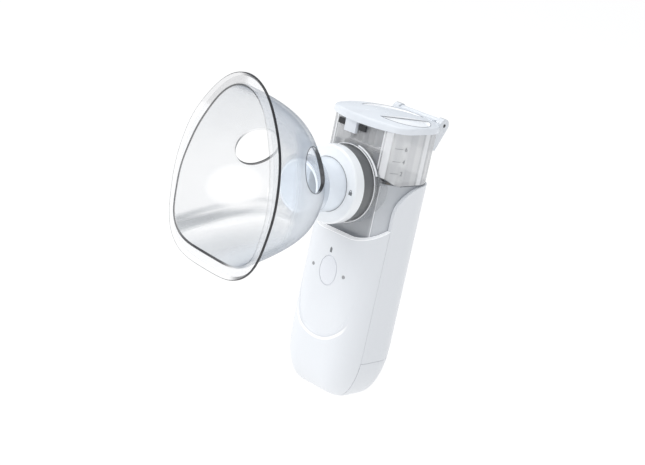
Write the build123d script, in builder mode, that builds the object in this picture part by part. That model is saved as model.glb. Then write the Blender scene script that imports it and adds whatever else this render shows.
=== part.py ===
"""Portable mesh nebulizer with a child's face mask, as an assembly of separate parts.

Millimetres. The origin is the centre of the flat base, +Z is up and the outlet and mask face -Y.
"""
from build123d import *
import math
import os

os.makedirs("parts", exist_ok=True)

# ---------------------------------------------------------------- driving dimensions
# Housing
WIDTH = 40.0                    # side to side
DEPTH = 36.0                    # front to rear
FRONT_RADIUS = 13.0             # plan corners
REAR_RADIUS = 15.0
WALL = 1.5
BASE_RISE = 22.0                # height and inset of the rounded base edge
BASE_INSET = 9.2
BASE_SECTIONS = 8
SEAM_Y = -8.0                   # plane between front and rear shells
SEAM_GAP = 0.12
FRONT_RIM_Z = 69.8              # rim height at the front and at the seam
SEAM_RIM_Z = 76.0
REAR_RIM_START_Z = 82.0         # the rear rim sweeps up from the seam to its full height
REAR_RIM_MIDDLE = (-2.2, 91.2)  # (y, z) on the sweep
REAR_RIM_Z = 94.5
REAR_RIM_LEVEL_Y = 8.0
DOOR_Z = 17.8                   # top edge of the battery door
FIT_GAP = 0.3                   # between parts that move past each other
SLIVER = 0.02                   # keeps fused neighbours from sharing curved faces
BIG = 200.0                     # longer than the whole object

# Medicine cup
AXIS_Z = 91.2                   # height of the outlet axis
CUP_TOP = 116.6
CUP_BOTTOM = 94.8
CUP_INSET = 0.7
CUP_FRONT = -16.6
CUP_WALL = 1.3
CUP_FRONT_CORNER = 13.6
CUP_FLOOR = 1.5
CUP_DIVIDER_Y = -9.5            # wall between the spray chamber and the reservoir
SKIRT_BOTTOM = 66.0
SKIRT_INSET = 1.85
SKIRT_FRONT = -14.05
SKIRT_WALL = 1.2
WELL_HALF_WIDTH = 9.0           # feed well, which brings the liquid down to the mesh
WELL_BOTTOM = 82.5
WELL_REAR = -1.0
FEED_RADIUS = 4.4

# Outlet
COLLAR_RADIUS = 16.3            # clear collar round the outlet
COLLAR_BORE = 15.6
COLLAR_FRONT = -19.4
THROAT_RADIUS = 13.6            # hole through the cup's front wall
RING_RADIUS = 16.1              # white adapter
RING_FRONT = -30.3
RING_BACK = -25.6
RING_ROUNDING = 0.9
SPIGOT_RADIUS = 13.4
SPIGOT_BACK = -17.2
TUBE_RADIUS = 11.0              # 22 mm mask connector
TUBE_BORE = 9.6
TUBE_END = -46.5

# Mesh unit, stacked forwards from the divider
CARRIER_HALF_WIDTH = 10.3
CARRIER_FRONT = -12.6
CARRIER_BOTTOM = 76.5
CARRIER_TOP = 106.5
MESH_RADIUS = 7.8
MESH_SEAL_THICKNESS = 0.8
MESH_THICKNESS = 0.2
PIEZO_THICKNESS = 0.8
PIEZO_BORE = 5.0
BAFFLE_HALF_WIDTH = 7.0
BAFFLE_BOTTOM = 108.0
BAFFLE_TOP = 115.4
BAFFLE_RIBS = 5

# Lid
LID_BOTTOM = 116.8
LID_HALF_WIDTH = 20.2
LID_FRONT = -20.4
LID_REAR = 18.0
LID_BOW_RADIUS = 30.0
LID_FRONT_CORNER = 9.5
LID_CROWN_Z = 121.4
LID_CROWN_Y = -3.0
LID_CROWN_RADIUS = 110.0
LID_ROUNDING = 0.9
DISH_DEPTH = 0.9
PLUG_INSET = 3.2                # plug under the lid, which carries the gasket
PLUG_FRONT = -7.0
PLUG_DEPTH = 1.8
GASKET_THICKNESS = 0.8
GASKET_HEIGHT = 1.0
LATCH_X = -4.0
LATCH_WIDTH = 6.0
LATCH_BOTTOM = 111.4
LATCH_THICKNESS = 1.45
CATCH_GAP = 0.8                 # dark catch windows beside the latch
CATCH_HALF_WIDTH = 1.8
CATCH_DEPTH = 0.9
CATCH_BOTTOM = 113.2
CATCH_TOP = 115.6
HINGE_Y = 19.6                  # hinge pin
HINGE_Z = 118.2
HINGE_EAR_X = 12.0
HINGE_EAR_WIDTH = 3.0
HINGE_EAR_RADIUS = 2.8
GUSSET_BOTTOM = 107.7
KNUCKLE_RADIUS = 2.2
PIN_RADIUS = 0.75
PIN_CLEARANCE = 0.05

# Controls on the front
BUTTON_Z = 53.3
BUTTON_HALF_WIDTH = 4.5
BUTTON_HALF_HEIGHT = 6.25
BUTTON_GAP = 0.25
BUTTON_PROUD = 0.35
BUTTON_CROWN_RADIUS = 42.0
BUTTON_FLANGE = 0.9             # width and thickness of the flange behind the shell
BUTTON_FLANGE_THICKNESS = 0.7
PLUNGER_LENGTH = 0.8
INDICATOR_X = 8.6
INDICATOR_RADIUS = 0.8
SMILE_RADIUS = 15.4             # crescent step on the front face
SMILE_BOTTOM = 24.7
SMILE_SLOPE = (0, 0.65, 1.2)    # the step runs back and up
SMILE_TILT = 2.0
SMILE_FADE_Z = 45.0

# Electronics
BOARD_FRONT = -10.8
BOARD_THICKNESS = 1.2
BOARD_HALF_WIDTH = 14.0
BOARD_BOTTOM = 27.0
BOARD_TOP = 60.0
BOARD_SCREWS = ((-11.5, 30.0), (11.5, 30.0))
BOARD_PEGS = ((-11.5, 57.0), (11.5, 57.0))
SHELL_SCREWS = ((-13.5, 23.5), (13.5, 23.5))
BOSS_RADIUS = 2.2
BOSS_LENGTH = 6.0
TAB_BACK = -6.2                 # rear face of the screw tabs on the rear shell
SCREW_RADIUS = 0.95
SCREW_HEAD_RADIUS = 1.8
SCREW_HEAD_HEIGHT = 1.1
SCREW_HOLE_RADIUS = 1.1
SWITCH_HALF_WIDTH = 3.0
SWITCH_FRONT = -14.1
CHIPS = (((-10, 36), (-3, 43), 1.4), ((2, 34.5), (9, 41.5), 3.0), ((-2, 30), (1, 34), 1.0))

# Batteries
CELL_RADIUS = 7.1               # AA cells
CELL_LENGTH = 49.3
CELL_X = 7.6
CELL_Y = 5.2
CELL_BOTTOM = 7.2
CELL_NUB_RADIUS = 2.7
CELL_NUB_HEIGHT = 1.0
TRAY_WALL = 1.0
TRAY_REAR = 5.0                 # rear edge of the tray, from the cells' axes
PLATE_Z = 3.6                   # underside of the contact plate in the door
STRIP = 0.4                     # thickness of the contact strips
SPRING_RADIUS = 2.9
SPRING_WIRE = 0.28
SPRING_LIFT = 0.07              # clears the strip under the lowest turn
DOCK_Z = 61.5                   # deck that the cup stands on
DOCK_THICKNESS = 2.0
PEDESTAL_TOP = 79.0             # contact pedestal on the deck
PEDESTAL_HALF_WIDTH = 7.0
PEDESTAL_FRONT = -6.0
PEDESTAL_REAR = 9.0
CONTACT_X = 3.5
CONTACT_Y = 2.0

# Face mask
MASK_RIM_Y = -87.4
MASK_TURN = 3.0                 # degrees about the outlet, nose towards +X
MASK_FLANGE = 1.3
MASK_WALL = 1.0
MASK_LENGTH = 40.4
NECK_RADIUS = 13.2
SLEEVE_RADIUS = 12.5
SLEEVE_BORE = 11.3
SLEEVE_END = -41.5
VENT_RADIUS = 8.8
VENT_CENTRE = (16.4, -56.9, 103.2)
VENT_AZIMUTH = 23.6
VENT_ELEVATION = 21.5
MASK_SECTIONS = 9
MASK_REACH_POWER = 1.92         # shape of the bowl from rim to neck
MASK_SIZE_POWER = 0.87

# Half outlines of the mask, top to bottom, as (x, z): edge of the flange and mouth of the bowl.
FLANGE_HALF = [(6.9, 135.0), (12.8, 130.6), (18.5, 123.3), (23.6, 114.0), (26.6, 103.1), (27.7, 91.2),
               (26.7, 80.4), (24.4, 70.7), (20.6, 64.8), (15.8, 61.5), (8.4, 59.8)]
FLANGE_TOP = 136.7
FLANGE_BOTTOM = 59.6
MOUTH_HALF = [(6.1, 130.0), (11.2, 125.6), (15.7, 118.4), (19.6, 110.1), (22.3, 101.1), (24.0, 91.2),
              (23.7, 81.6), (21.9, 72.8), (17.9, 68.2), (13.2, 66.4), (6.8, 65.9)]
MOUTH_TOP = 131.8
MOUTH_BOTTOM = 65.9

OUTLET_PLANE = Plane(origin=(0, 0, AXIS_Z), x_dir=(1, 0, 0), z_dir=(0, -1, 0))
OUTLET_AXIS = Axis((0, 0, AXIS_Z), (0, 1, 0))


def finish(part, label):
    """Label a finished part and write its STEP file."""
    part.label = label
    export_step(part, f"parts/{label}.step")


def front_plane(y):
    """Vertical plane at depth y whose normal points forwards."""
    return Plane.XZ.offset(-y)


def outlet_disc(radius, front, back):
    """A solid disc round the outlet axis, between two depths."""
    with BuildPart() as disc:
        with BuildSketch(OUTLET_PLANE.offset(-back)):
            Circle(radius)
        extrude(amount=back - front)
    return disc.part


def side_profile(points, x=0.0):
    """A closed polygon in the side view at x, given as (y, z) points."""
    with BuildSketch(Plane.YZ.offset(x)) as profile:
        with BuildLine():
            Polyline(*points, close=True)
        make_face()
    return profile.sketch


def hinge_rod(radius, x_start, length):
    """A round bar on the hinge axis."""
    with BuildPart() as rod:
        with BuildSketch(Plane.YZ.offset(x_start)):
            with Locations((HINGE_Y, HINGE_Z)):
                Circle(radius)
        extrude(amount=length)
    return rod.part


def block(low, high):
    """A box between two corners."""
    centre = tuple((a + b) / 2 for a, b in zip(low, high))
    with BuildPart() as solid:
        with Locations(centre):
            Box(*(b - a for a, b in zip(low, high)))
    return solid.part


def plan_section(z, inset, front=-DEPTH / 2, front_radius=FRONT_RADIUS):
    """Rounded plan outline of the housing at height z, pulled in by inset."""
    with BuildSketch(Plane.XY.offset(z)) as section:
        with Locations((0, (front + DEPTH / 2) / 2)):
            Rectangle(WIDTH - 2 * inset, DEPTH / 2 - front - 2 * inset)
        fillet(section.vertices().group_by(Axis.Y)[0], front_radius - inset)
        fillet(section.vertices().group_by(Axis.Y)[-1], REAR_RADIUS - inset)
    return section.sketch


def housing_solid(inset, top):
    """Solid of the housing: an elliptically rounded base under straight walls."""
    rise = BASE_RISE - inset
    sections = []
    for step in range(BASE_SECTIONS + 1):
        angle = math.pi / 2 * step / BASE_SECTIONS
        z = inset + rise * (1 - math.cos(angle))
        sections.append(plan_section(z, inset + BASE_INSET * (1 - math.sin(angle))))
    with BuildPart() as solid:
        loft(sections)
        extrude(plan_section(BASE_RISE, inset), amount=top - BASE_RISE)
    return solid.part


def flat_front_solid(bottom, top, inset, front, wide_front=-DEPTH / 2, corner=FRONT_RADIUS):
    """Solid with rounded sides and rear, cut flat at the front so that it has sharp edges."""
    with BuildPart() as solid:
        extrude(plan_section(bottom, inset, wide_front, corner), amount=top - bottom)
        add(block((-BIG, -BIG, bottom - 1), (BIG, front, top + 1)), mode=Mode.SUBTRACT)
    return solid.part


def cup_solid(bottom, top, inset, front):
    """Solid with the cup's plan, whose front corners are wider than the housing's."""
    return flat_front_solid(bottom, top, inset, front, CUP_FRONT - 3.0, CUP_FRONT_CORNER)


# ---------------------------------------------------------------- housing shells
outer_body = housing_solid(0.0, REAR_RIM_Z)
inner_body = housing_solid(WALL, REAR_RIM_Z + 1)

# screw bosses and pegs inside the front shell, trimmed by the outer surface
with BuildPart() as bosses:
    with BuildSketch(front_plane(BOARD_FRONT)):
        with Locations(*BOARD_SCREWS, *BOARD_PEGS):
            Circle(BOSS_RADIUS)
    extrude(amount=BOSS_LENGTH)
    with BuildSketch(front_plane(SEAM_Y - SEAM_GAP)):
        with Locations(*SHELL_SCREWS):
            Circle(BOSS_RADIUS)
    extrude(amount=BOSS_LENGTH)
    with BuildSketch(front_plane(SEAM_Y)):
        with Locations(*BOARD_SCREWS, *SHELL_SCREWS):
            Circle(SCREW_RADIUS + 0.05)
    extrude(amount=BOSS_LENGTH, mode=Mode.SUBTRACT)
    add(outer_body, mode=Mode.INTERSECT)

# crescent: a sheared cylinder whose floor fades out towards the top
with BuildPart() as smile_floor:
    extrude(plan_section(0, 0.0), amount=REAR_RIM_Z)
tilt_axis = Axis((0, -DEPTH / 2, SMILE_FADE_Z), (1, 0, 0))
with BuildPart() as smile_cutter:
    with BuildSketch(front_plane(-DEPTH / 2)):
        with Locations((0, SMILE_BOTTOM + SMILE_RADIUS)):
            Circle(SMILE_RADIUS)
    extrude(amount=8, dir=SMILE_SLOPE)
    extrude(smile_cutter.faces().sort_by(Axis.Y)[0], amount=2)
    add(smile_floor.part.rotate(tilt_axis, SMILE_TILT), mode=Mode.SUBTRACT)

with BuildPart() as front_shell:
    add(outer_body)
    add(inner_body, mode=Mode.SUBTRACT)
    add(bosses.part)
    extrude(side_profile([(-DEPTH, -1), (-DEPTH, FRONT_RIM_Z - 8), (-DEPTH / 2, FRONT_RIM_Z),
                          (SEAM_Y - SEAM_GAP, SEAM_RIM_Z), (SEAM_Y - SEAM_GAP, -1)]),
            amount=WIDTH, both=True, mode=Mode.INTERSECT)
    add(smile_cutter.part, mode=Mode.SUBTRACT)
    with BuildSketch(front_plane(-DEPTH / 2 - 4)):
        with Locations((0, BUTTON_Z)):
            Ellipse(BUTTON_HALF_WIDTH + BUTTON_GAP, BUTTON_HALF_HEIGHT + BUTTON_GAP)
        with Locations((-INDICATOR_X, BUTTON_Z), (INDICATOR_X, BUTTON_Z)):
            Circle(INDICATOR_RADIUS)
    extrude(amount=-8, mode=Mode.SUBTRACT)
finish(front_shell.part, "front_shell")

with BuildPart() as rear_shell:
    add(outer_body)
    add(inner_body, mode=Mode.SUBTRACT)
    with BuildSketch(Plane.YZ):
        with BuildLine():
            Polyline((SEAM_Y, REAR_RIM_START_Z), (SEAM_Y, -1), (DEPTH, -1), (DEPTH, REAR_RIM_Z),
                     (REAR_RIM_LEVEL_Y, REAR_RIM_Z))
            Spline((REAR_RIM_LEVEL_Y, REAR_RIM_Z), REAR_RIM_MIDDLE, (SEAM_Y, REAR_RIM_START_Z),
                   tangents=((-1, 0), (0, -1)))
        make_face()
    extrude(amount=WIDTH, both=True, mode=Mode.INTERSECT)
    add(block((-WIDTH, SEAM_Y - 1, -1), (WIDTH, DEPTH, DOOR_Z)), mode=Mode.SUBTRACT)
    for x, z in SHELL_SCREWS:       # tabs behind the front shell's bosses
        low, high = sorted((x - math.copysign(2.5, x), x + math.copysign(5.0, x)))
        add(block((low, SEAM_Y, z - 2.6), (high, TAB_BACK, z + 2.6)))
        with BuildSketch(front_plane(TAB_BACK + 1)):
            with Locations((x, z)):
                Circle(SCREW_HOLE_RADIUS)
        extrude(amount=4, mode=Mode.SUBTRACT)
finish(rear_shell.part, "rear_shell")

with BuildPart() as battery_door:
    add(outer_body)
    add(inner_body, mode=Mode.SUBTRACT)
    add(block((-WIDTH, SEAM_Y + FIT_GAP / 2, -1), (WIDTH, DEPTH, DOOR_Z - FIT_GAP / 2)),
        mode=Mode.INTERSECT)
    for level in range(3):          # finger grooves on the back
        groove_z = 9.0 + 2.4 * level
        add(block((-6, DEPTH / 2 - 0.7, groove_z), (6, DEPTH, groove_z + 0.9)), mode=Mode.SUBTRACT)
    for side in (-1, 1):            # posts under the contact plate
        post_x = 5.0 * side
        add(block((post_x - 1.5, CELL_Y - 3, WALL), (post_x + 1.5, CELL_Y + 1, PLATE_Z)))
finish(battery_door.part, "battery_door")

# ---------------------------------------------------------------- controls on the front
flange_front = -DEPTH / 2 + WALL
with BuildPart() as power_button:
    with BuildSketch(front_plane(flange_front)):
        with Locations((0, BUTTON_Z)):
            Ellipse(BUTTON_HALF_WIDTH, BUTTON_HALF_HEIGHT)
    extrude(amount=WALL + BUTTON_PROUD)
    with Locations((0, -DEPTH / 2 - BUTTON_PROUD + BUTTON_CROWN_RADIUS, BUTTON_Z)):
        Sphere(BUTTON_CROWN_RADIUS, mode=Mode.INTERSECT)
    fillet(power_button.faces().sort_by(Axis.Y)[0].edges(), 0.3)
    with BuildSketch(front_plane(flange_front)):
        with Locations((0, BUTTON_Z)):
            Ellipse(BUTTON_HALF_WIDTH + BUTTON_FLANGE, BUTTON_HALF_HEIGHT + BUTTON_FLANGE)
    extrude(amount=-BUTTON_FLANGE_THICKNESS)
    with BuildSketch(front_plane(flange_front + BUTTON_FLANGE_THICKNESS)):
        with Locations((0, BUTTON_Z)):
            Circle(1.4)
    extrude(amount=-PLUNGER_LENGTH)
finish(power_button.part, "power_button")

with BuildPart() as indicator_lenses:
    with BuildSketch(front_plane(flange_front + 0.6)):
        with Locations((-INDICATOR_X, BUTTON_Z), (INDICATOR_X, BUTTON_Z)):
            Circle(INDICATOR_RADIUS - 0.05)
    extrude(amount=WALL + 0.45)
finish(indicator_lenses.part, "indicator_lenses")

# ---------------------------------------------------------------- electronics
BOARD_BACK = BOARD_FRONT + BOARD_THICKNESS
with BuildPart() as control_board:
    add(block((-BOARD_HALF_WIDTH, BOARD_FRONT, BOARD_BOTTOM),
              (BOARD_HALF_WIDTH, BOARD_BACK, BOARD_TOP)))
    with BuildSketch(front_plane(BOARD_BACK + 1)):
        with Locations(*BOARD_SCREWS):
            Circle(SCREW_HOLE_RADIUS)
    extrude(amount=4, mode=Mode.SUBTRACT)
finish(control_board.part, "control_board")

plunger_front = SWITCH_FRONT + 1.2
with BuildPart() as tact_switch:
    add(block((-SWITCH_HALF_WIDTH, plunger_front, BUTTON_Z - SWITCH_HALF_WIDTH),
              (SWITCH_HALF_WIDTH, BOARD_FRONT, BUTTON_Z + SWITCH_HALF_WIDTH)))
    with BuildSketch(front_plane(SWITCH_FRONT)):
        with Locations((0, BUTTON_Z)):
            Circle(1.7)
    extrude(amount=SWITCH_FRONT - plunger_front)
finish(tact_switch.part, "tact_switch")

with BuildPart() as board_chips:
    for (x_low, z_low), (x_high, z_high), height in CHIPS:
        add(block((x_low, BOARD_FRONT - height, z_low), (x_high, BOARD_FRONT, z_high)))
finish(board_chips.part, "board_chips")

with BuildPart() as status_leds:
    for side in (-1, 1):
        with Locations((side * INDICATOR_X, BOARD_FRONT - 0.5, BUTTON_Z)):
            Box(2.0, 1.0, 1.2)
finish(status_leds.part, "status_leds")


def screws(places, seat_y, length):
    """Pan-head screws seated at one depth, pointing forwards."""
    with BuildPart() as group:
        with BuildSketch(front_plane(seat_y)):
            with Locations(*places):
                Circle(SCREW_HEAD_RADIUS)
        extrude(amount=-SCREW_HEAD_HEIGHT)
        fillet(group.faces().group_by(Axis.Y)[-1].edges(), 0.4)
        with BuildSketch(front_plane(seat_y)):
            with Locations(*places):
                Circle(SCREW_RADIUS)
        extrude(amount=length)
        with BuildSketch(front_plane(seat_y + SCREW_HEAD_HEIGHT)):
            for turn in (0, 90):    # cross recess
                with Locations(*places):
                    Rectangle(2.0, 0.45, rotation=turn)
        extrude(amount=0.6, mode=Mode.SUBTRACT)
    return group.part


finish(screws(BOARD_SCREWS, BOARD_BACK, 3.4), "board_screws")
finish(screws(SHELL_SCREWS, TAB_BACK, 6.0), "shell_screws")

# ---------------------------------------------------------------- batteries
cell_places = ((-CELL_X, CELL_Y), (CELL_X, CELL_Y))
cell_top = CELL_BOTTOM + CELL_LENGTH
with BuildPart() as battery_cells:
    with BuildSketch(Plane.XY.offset(CELL_BOTTOM)):
        with Locations(*cell_places):
            Circle(CELL_RADIUS)
    extrude(amount=CELL_LENGTH)
    chamfer(battery_cells.edges().filter_by(GeomType.CIRCLE), 0.5)
    with BuildSketch(Plane.XY.offset(cell_top)):
        with Locations(*cell_places):
            Circle(CELL_NUB_RADIUS)
    extrude(amount=CELL_NUB_HEIGHT)
finish(battery_cells.part, "battery_cells")

contact_z = cell_top + CELL_NUB_HEIGHT + 0.25
tray_top = contact_z + STRIP + 0.75
tray_front = CELL_Y - CELL_RADIUS - 0.5
tray_half_width = CELL_X + CELL_RADIUS + 0.8
shell_half_width = WIDTH / 2 - WALL
with BuildPart() as battery_tray:
    add(block((-tray_half_width, tray_front - TRAY_WALL, DOOR_Z + 1),
              (tray_half_width, CELL_Y + TRAY_REAR, tray_top + TRAY_WALL)))
    add(block((-shell_half_width, 0.0, DOOR_Z + 1), (shell_half_width, 2.0, tray_top + TRAY_WALL)))
    with BuildSketch(Plane.XY.offset(DOOR_Z)):
        with Locations(*cell_places):
            Circle(CELL_RADIUS + 0.35)
        with Locations((0, CELL_Y + 6)):
            Rectangle(2 * CELL_X, 12)
    extrude(amount=tray_top - DOOR_Z, mode=Mode.SUBTRACT)
finish(battery_tray.part, "battery_tray")

with BuildPart() as tray_contacts:
    for side in (-1, 1):
        with Locations((side * CELL_X, CELL_Y, contact_z + STRIP / 2)):
            Cylinder(3.4, STRIP)
        with Locations((side * CELL_X, CELL_Y, (contact_z + STRIP + tray_top) / 2)):
            Cylinder(1.2, tray_top - contact_z - STRIP)
finish(tray_contacts.part, "tray_contacts")

with BuildPart() as door_contact:
    add(block((-CELL_X - 2, CELL_Y - 3, PLATE_Z), (CELL_X + 2, CELL_Y + 3, PLATE_Z + STRIP)))
finish(door_contact.part, "door_contact")

with BuildPart() as one_spring:
    with BuildLine() as coil:
        Helix(pitch=0.85, height=2.1, radius=SPRING_RADIUS, cone_angle=-25)
    with BuildSketch(Plane(origin=coil.line @ 0, z_dir=coil.line % 0)):
        Circle(SPRING_WIRE)
    sweep()
with BuildPart() as door_springs:
    for side in (-1, 1):
        with Locations((side * CELL_X, CELL_Y, PLATE_Z + STRIP + SPRING_WIRE + SPRING_LIFT)):
            add(one_spring.part)
finish(door_springs.part, "door_springs")

# ---------------------------------------------------------------- dock under the cup
with BuildPart() as dock_deck:
    extrude(plan_section(DOCK_Z, WALL + SLIVER), amount=DOCK_THICKNESS)
    add(block((-PEDESTAL_HALF_WIDTH, PEDESTAL_FRONT, DOCK_Z + DOCK_THICKNESS),
              (PEDESTAL_HALF_WIDTH, PEDESTAL_REAR, PEDESTAL_TOP)))
finish(dock_deck.part, "dock_deck")

with BuildPart() as dock_contacts:
    for side in (-1, 1):
        with Locations((side * CONTACT_X, CONTACT_Y, PEDESTAL_TOP + 0.6)):
            Cylinder(0.9, 1.2)
finish(dock_contacts.part, "dock_contacts")

# ---------------------------------------------------------------- medicine cup
cup_outer = cup_solid(CUP_BOTTOM, CUP_TOP, CUP_INSET, CUP_FRONT)
cup_inner = cup_solid(CUP_BOTTOM - 5, CUP_TOP + 1, CUP_INSET + CUP_WALL, CUP_FRONT + CUP_WALL)
skirt_outer = flat_front_solid(SKIRT_BOTTOM, CUP_BOTTOM, SKIRT_INSET, SKIRT_FRONT)
skirt_inner = flat_front_solid(SKIRT_BOTTOM - 1, CUP_BOTTOM + 1, SKIRT_INSET + SKIRT_WALL,
                               SKIRT_FRONT + SKIRT_WALL)
floor_top = CUP_BOTTOM + CUP_FLOOR
reservoir_front = CUP_DIVIDER_Y + CUP_WALL

with BuildPart() as cavity:         # spray chamber and reservoir, either side of the divider
    add(cup_inner)
    add(block((-BIG, CUP_DIVIDER_Y, 0), (BIG, reservoir_front, BIG)), mode=Mode.SUBTRACT)
    add(block((-BIG, reservoir_front, 0), (BIG, BIG, floor_top)), mode=Mode.SUBTRACT)

with BuildPart() as reservoir:
    add(cup_outer)
    extrude(side_profile([(CUP_FRONT - 1, CUP_BOTTOM - 1), (CUP_FRONT - 1, CUP_BOTTOM + 3.4),
                          (-14.0, CUP_BOTTOM + 2.6), (-11.0, CUP_BOTTOM + 0.8),
                          (-7.0, CUP_BOTTOM), (-7.0, CUP_BOTTOM - 1)]),
            amount=WIDTH, both=True, mode=Mode.SUBTRACT)
    for side in (-1, 1):            # hinge ears with their gussets
        ear_x = side * HINGE_EAR_X - HINGE_EAR_WIDTH / 2
        gusset = [(14.5, GUSSET_BOTTOM), (16.8, GUSSET_BOTTOM), (HINGE_Y + 2.5, HINGE_Z - 1.2),
                  (HINGE_Y, HINGE_Z), (HINGE_Y - 2.2, CUP_TOP), (14.5, CUP_TOP)]
        extrude(side_profile(gusset, ear_x), amount=HINGE_EAR_WIDTH)
        add(hinge_rod(HINGE_EAR_RADIUS, ear_x, HINGE_EAR_WIDTH))
    add(cavity.part, mode=Mode.SUBTRACT)
    add(block((-WELL_HALF_WIDTH, CUP_DIVIDER_Y, WELL_BOTTOM),
              (WELL_HALF_WIDTH, WELL_REAR, floor_top)))
    add(block((-WELL_HALF_WIDTH + CUP_WALL, reservoir_front, WELL_BOTTOM + CUP_WALL),
              (WELL_HALF_WIDTH - CUP_WALL, WELL_REAR - CUP_WALL, floor_top + 1)),
        mode=Mode.SUBTRACT)
    add(outlet_disc(THROAT_RADIUS, COLLAR_FRONT, CUP_DIVIDER_Y - 2), mode=Mode.SUBTRACT)
    add(outlet_disc(FEED_RADIUS, CUP_DIVIDER_Y - 3, reservoir_front + 1), mode=Mode.SUBTRACT)
    add(hinge_rod(PIN_RADIUS, -WIDTH / 2, WIDTH), mode=Mode.SUBTRACT)
finish(reservoir.part, "reservoir")

with BuildPart() as cup_skirt:
    add(skirt_outer)
    add(skirt_inner, mode=Mode.SUBTRACT)
    add(outlet_disc(THROAT_RADIUS, COLLAR_FRONT, -10), mode=Mode.SUBTRACT)
finish(cup_skirt.part, "cup_skirt")

with BuildPart() as outlet_collar:
    add(outlet_disc(COLLAR_RADIUS, COLLAR_FRONT, -11.5))
    add(outlet_disc(COLLAR_BORE, COLLAR_FRONT, CUP_FRONT - 0.8), mode=Mode.SUBTRACT)
    add(outlet_disc(THROAT_RADIUS, COLLAR_FRONT, -10), mode=Mode.SUBTRACT)
    add(cup_solid(CUP_BOTTOM - 0.1, CUP_TOP, CUP_INSET - SLIVER, CUP_FRONT - SLIVER),
        mode=Mode.SUBTRACT)
    add(flat_front_solid(SKIRT_BOTTOM, CUP_BOTTOM, SKIRT_INSET - SLIVER, SKIRT_FRONT - SLIVER),
        mode=Mode.SUBTRACT)
finish(outlet_collar.part, "outlet_collar")

with BuildPart() as outlet_seal:
    add(outlet_disc(COLLAR_BORE - 0.3, RING_BACK + FIT_GAP, CUP_FRONT - 0.9))
    add(outlet_disc(SPIGOT_RADIUS + FIT_GAP, RING_BACK, CUP_FRONT), mode=Mode.SUBTRACT)
finish(outlet_seal.part, "outlet_seal")

mesh_front = CUP_DIVIDER_Y - MESH_SEAL_THICKNESS - MESH_THICKNESS
piezo_front = mesh_front - PIEZO_THICKNESS
with BuildPart() as mesh_carrier:
    add(block((-CARRIER_HALF_WIDTH, CARRIER_FRONT, CARRIER_BOTTOM),
              (CARRIER_HALF_WIDTH, CUP_DIVIDER_Y - 0.1, CARRIER_TOP)))
    add(outlet_disc(6.4, CARRIER_FRONT - 1, CUP_DIVIDER_Y), mode=Mode.SUBTRACT)
    add(outlet_disc(MESH_RADIUS + 0.4, piezo_front - 0.2, CUP_DIVIDER_Y), mode=Mode.SUBTRACT)
finish(mesh_carrier.part, "mesh_carrier")

with BuildPart() as mesh_seal:
    add(outlet_disc(MESH_RADIUS - 0.2, mesh_front + MESH_THICKNESS, CUP_DIVIDER_Y))
    add(outlet_disc(FEED_RADIUS + 0.2, CARRIER_FRONT, CUP_DIVIDER_Y + 1), mode=Mode.SUBTRACT)
finish(mesh_seal.part, "mesh_seal")

with BuildPart() as mesh_plate:
    add(outlet_disc(MESH_RADIUS, mesh_front, mesh_front + MESH_THICKNESS))
finish(mesh_plate.part, "mesh_plate")

with BuildPart() as piezo_ring:
    add(outlet_disc(MESH_RADIUS, piezo_front, mesh_front))
    add(outlet_disc(PIEZO_BORE, CARRIER_FRONT, CUP_DIVIDER_Y), mode=Mode.SUBTRACT)
finish(piezo_ring.part, "piezo_ring")

with BuildPart() as spray_baffle:
    add(block((-BAFFLE_HALF_WIDTH, CUP_DIVIDER_Y - 1.1, BAFFLE_BOTTOM),
              (BAFFLE_HALF_WIDTH, CUP_DIVIDER_Y - 0.1, BAFFLE_TOP)))
    for rib in range(BAFFLE_RIBS):
        rib_x = (2 * rib / (BAFFLE_RIBS - 1) - 1) * (BAFFLE_HALF_WIDTH - 0.6)
        add(block((rib_x - 0.6, -13.4, BAFFLE_BOTTOM),
                  (rib_x + 0.6, CUP_DIVIDER_Y - 1.0, BAFFLE_TOP)))
finish(spray_baffle.part, "spray_baffle")

pad_bottom = PEDESTAL_TOP + 1.5
with BuildPart() as cup_contacts:
    for side in (-1, 1):
        with Locations((side * CONTACT_X, CONTACT_Y, pad_bottom + 0.5)):
            Cylinder(1.3, 1.0)
    add(block((-5.0, CONTACT_Y - 1.6, pad_bottom + 1.0), (5.0, CONTACT_Y + 1.6, CUP_BOTTOM)))
finish(cup_contacts.part, "cup_contacts")

with BuildPart() as latch_catch:
    for side in (-1, 1):
        catch_x = LATCH_X + side * (LATCH_WIDTH / 2 + CATCH_GAP + CATCH_HALF_WIDTH)
        add(block((catch_x - CATCH_HALF_WIDTH, CUP_FRONT - CATCH_DEPTH, CATCH_BOTTOM),
                  (catch_x + CATCH_HALF_WIDTH, CUP_FRONT, CATCH_TOP)))
finish(latch_catch.part, "latch_catch")

pin_start = -HINGE_EAR_X - HINGE_EAR_WIDTH / 2
finish(hinge_rod(PIN_RADIUS, pin_start, -2 * pin_start), "hinge_pin")

# ---------------------------------------------------------------- lid


def lid_outline(z):
    """Plan outline of the lid: bowed front, straight sides, rounded rear."""
    bow_back = LID_FRONT + LID_BOW_RADIUS - math.sqrt(LID_BOW_RADIUS ** 2 - LID_HALF_WIDTH ** 2)
    left_front = (-LID_HALF_WIDTH, bow_back)
    right_front = (LID_HALF_WIDTH, bow_back)
    with BuildSketch(Plane.XY.offset(z)) as outline:
        with BuildLine():
            ThreePointArc(left_front, (0, LID_FRONT), right_front)
            Polyline(right_front, (LID_HALF_WIDTH, LID_REAR), (-LID_HALF_WIDTH, LID_REAR),
                     left_front)
        make_face()
        fillet(outline.vertices().group_by(Axis.Y)[0], LID_FRONT_CORNER)
        fillet(outline.vertices().group_by(Axis.Y)[-1], REAR_RADIUS)
    return outline.sketch


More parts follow.
